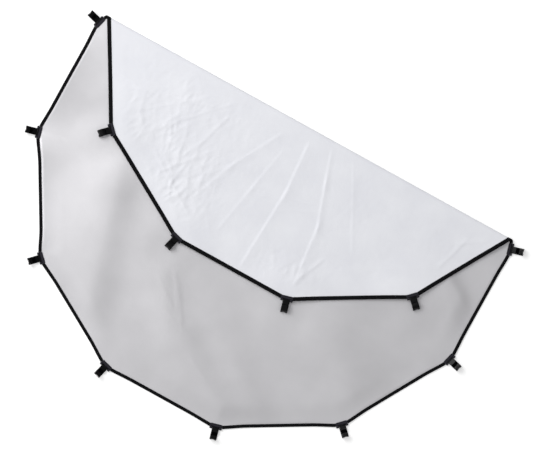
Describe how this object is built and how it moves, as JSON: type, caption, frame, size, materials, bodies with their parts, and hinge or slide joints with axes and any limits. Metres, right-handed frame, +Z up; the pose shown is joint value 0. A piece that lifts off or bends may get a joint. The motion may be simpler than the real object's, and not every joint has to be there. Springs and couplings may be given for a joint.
{
  "type": "reflector cover",
  "caption": "Twelve-sided clip-on reflector cover, silver and white faced, with a bound edge and hinged snap clips at its corners, lying flat and folded over.",
  "frame": {"origin": "middle of the folded cover's box, on the surface that it lies on", "axes": "+X along the fold, +Y from the main part towards the fold, +Z up out of the main part's silver face"},
  "size_m": [0.8, 0.5166, 0.0149],
  "materials": {
    "white_cloth": "matt white woven nylon",
    "silver_cloth": "soft silver coated cloth",
    "binding_tape": "black grosgrain tape",
    "patch_webbing": "dark grey ribbed webbing",
    "clip_plastic": "black moulded nylon, satin"
  },
  "bodies": {
    "main_panel": {"white_cloth_main": "white_cloth", "silver_cloth_main": "silver_cloth", "binding_stub_right": "binding_tape", "binding_stub_left": "binding_tape", "binding_06": "binding_tape", "binding_07": "binding_tape", "binding_08": "binding_tape", "binding_09": "binding_tape", "binding_10": "binding_tape", "binding_11": "binding_tape", "binding_12": "binding_tape", "corner_patch_01": "patch_webbing", "corner_patch_06": "patch_webbing", "corner_patch_07": "patch_webbing", "corner_patch_08": "patch_webbing", "corner_patch_09": "patch_webbing", "corner_patch_10": "patch_webbing", "corner_patch_11": "patch_webbing", "corner_patch_12": "patch_webbing"},
    "fold": {"white_cloth_fold": "white_cloth", "silver_cloth_fold": "silver_cloth", "binding_fold_right": "binding_tape", "binding_fold_left": "binding_tape"},
    "flap": {"white_cloth_flap": "white_cloth", "silver_cloth_flap": "silver_cloth", "binding_01": "binding_tape", "binding_02": "binding_tape", "binding_03": "binding_tape", "binding_04": "binding_tape", "binding_05": "binding_tape", "corner_patch_02": "patch_webbing", "corner_patch_03": "patch_webbing", "corner_patch_04": "patch_webbing", "corner_patch_05": "patch_webbing"},
    "snap_clip_01": {"clip_01": "clip_plastic"},
    "snap_clip_02": {"clip_02": "clip_plastic"},
    "snap_clip_03": {"clip_03": "clip_plastic"},
    "snap_clip_04": {"clip_04": "clip_plastic"},
    "snap_clip_05": {"clip_05": "clip_plastic"},
    "snap_clip_06": {"clip_06": "clip_plastic"},
    "snap_clip_07": {"clip_07": "clip_plastic"},
    "snap_clip_08": {"clip_08": "clip_plastic"},
    "snap_clip_09": {"clip_09": "clip_plastic"},
    "snap_clip_10": {"clip_10": "clip_plastic"},
    "snap_clip_11": {"clip_11": "clip_plastic"},
    "snap_clip_12": {"clip_12": "clip_plastic"}
  },
  "joints": [
    {"name": "fold_lower", "type": "hinge", "parent": "main_panel", "child": "fold", "pos_m": [0, 0.25665, 0.00284], "axis": [-1, 0, 0], "range_deg": [0, 90], "deforming": ["white_cloth_fold", "silver_cloth_fold", "binding_fold_right", "binding_fold_left"]},
    {"name": "fold_upper", "type": "hinge", "parent": "fold", "child": "flap", "pos_m": [0, 0.25665, 0.00826], "axis": [-1, 0, 0], "range_deg": [0, 90]},
    {"name": "clip_01_swing", "type": "hinge", "parent": "main_panel", "child": "snap_clip_01", "pos_m": [0.37961, 0.24344, 0.0021], "axis": [0.2588, -0.9659, 0], "range_deg": [-110, 75]},
    {"name": "clip_02_swing", "type": "hinge", "parent": "flap", "child": "snap_clip_02", "pos_m": [0.27789, 0.09911, 0.009], "axis": [0.7071, 0.7071, 0], "range_deg": [-95, 0]},
    {"name": "clip_03_swing", "type": "hinge", "parent": "flap", "child": "snap_clip_03", "pos_m": [0.10172, -0.00261, 0.009], "axis": [0.9659, 0.2588, 0], "range_deg": [-95, 0]},
    {"name": "clip_04_swing", "type": "hinge", "parent": "flap", "child": "snap_clip_04", "pos_m": [-0.10172, -0.00261, 0.009], "axis": [0.9659, -0.2588, 0], "range_deg": [-95, 0]},
    {"name": "clip_05_swing", "type": "hinge", "parent": "flap", "child": "snap_clip_05", "pos_m": [-0.27789, 0.09911, 0.009], "axis": [0.7071, -0.7071, 0], "range_deg": [-95, 0]},
    {"name": "clip_06_swing", "type": "hinge", "parent": "main_panel", "child": "snap_clip_06", "pos_m": [-0.37961, 0.24344, 0.0021], "axis": [0.2588, 0.9659, 0], "range_deg": [-110, 75]},
    {"name": "clip_07_swing", "type": "hinge", "parent": "main_panel", "child": "snap_clip_07", "pos_m": [-0.37961, 0.04001, 0.0021], "axis": [-0.2588, 0.9659, 0], "range_deg": [-110, 75]},
    {"name": "clip_08_swing", "type": "hinge", "parent": "main_panel", "child": "snap_clip_08", "pos_m": [-0.27789, -0.13617, 0.0021], "axis": [-0.7071, 0.7071, 0], "range_deg": [-110, 75]},
    {"name": "clip_09_swing", "type": "hinge", "parent": "main_panel", "child": "snap_clip_09", "pos_m": [-0.10172, -0.23788, 0.0021], "axis": [-0.9659, 0.2588, 0], "range_deg": [-110, 75]},
    {"name": "clip_10_swing", "type": "hinge", "parent": "main_panel", "child": "snap_clip_10", "pos_m": [0.10172, -0.23788, 0.0021], "axis": [-0.9659, -0.2588, 0], "range_deg": [-110, 75]},
    {"name": "clip_11_swing", "type": "hinge", "parent": "main_panel", "child": "snap_clip_11", "pos_m": [0.27789, -0.13617, 0.0021], "axis": [-0.7071, -0.7071, 0], "range_deg": [-110, 75]},
    {"name": "clip_12_swing", "type": "hinge", "parent": "main_panel", "child": "snap_clip_12", "pos_m": [0.37961, 0.04001, 0.0021], "axis": [-0.2588, -0.9659, 0], "range_deg": [-110, 75]}
  ],
  "couplings": [
    {"joint": "fold_upper", "follows": "fold_lower", "ratio": 1}
  ]
}
